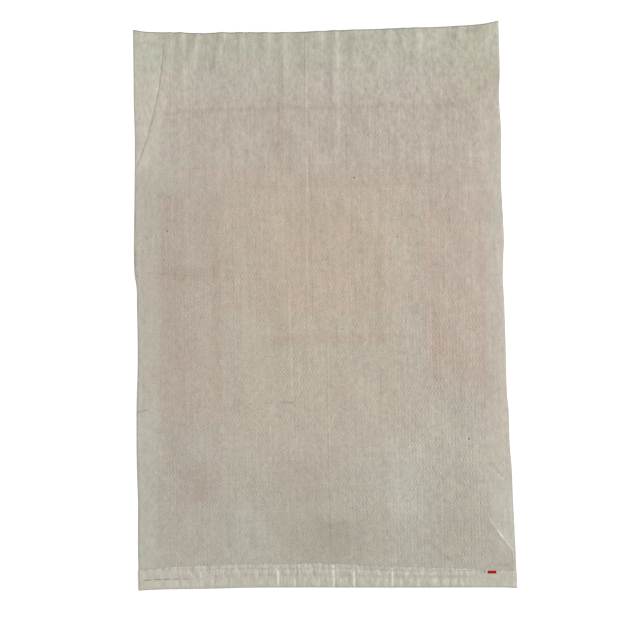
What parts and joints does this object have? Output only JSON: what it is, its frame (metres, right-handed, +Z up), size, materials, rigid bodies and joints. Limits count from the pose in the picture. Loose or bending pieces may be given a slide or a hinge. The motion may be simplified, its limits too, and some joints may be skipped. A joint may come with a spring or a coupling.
{
  "type": "woven polypropylene sack",
  "caption": "Empty woven sack lying flat: a folded tube with an open mouth at one end and a turned-over, sewn flap closing the other.",
  "frame": {"origin": "under the middle of the sack, on the surface that it lies on", "axes": "+Y along the sack's length towards its open mouth, +X across it to the right as seen from above, +Z up"},
  "size_m": [0.554, 0.837, 0.0116],
  "materials": {
    "woven_cloth": "plain-woven flat tape, satin",
    "tab_cloth": "matt woven ribbon"
  },
  "bodies": {
    "root": {"sack": "woven_cloth", "red_tab": "tab_cloth"}
  },
  "joints": []
}
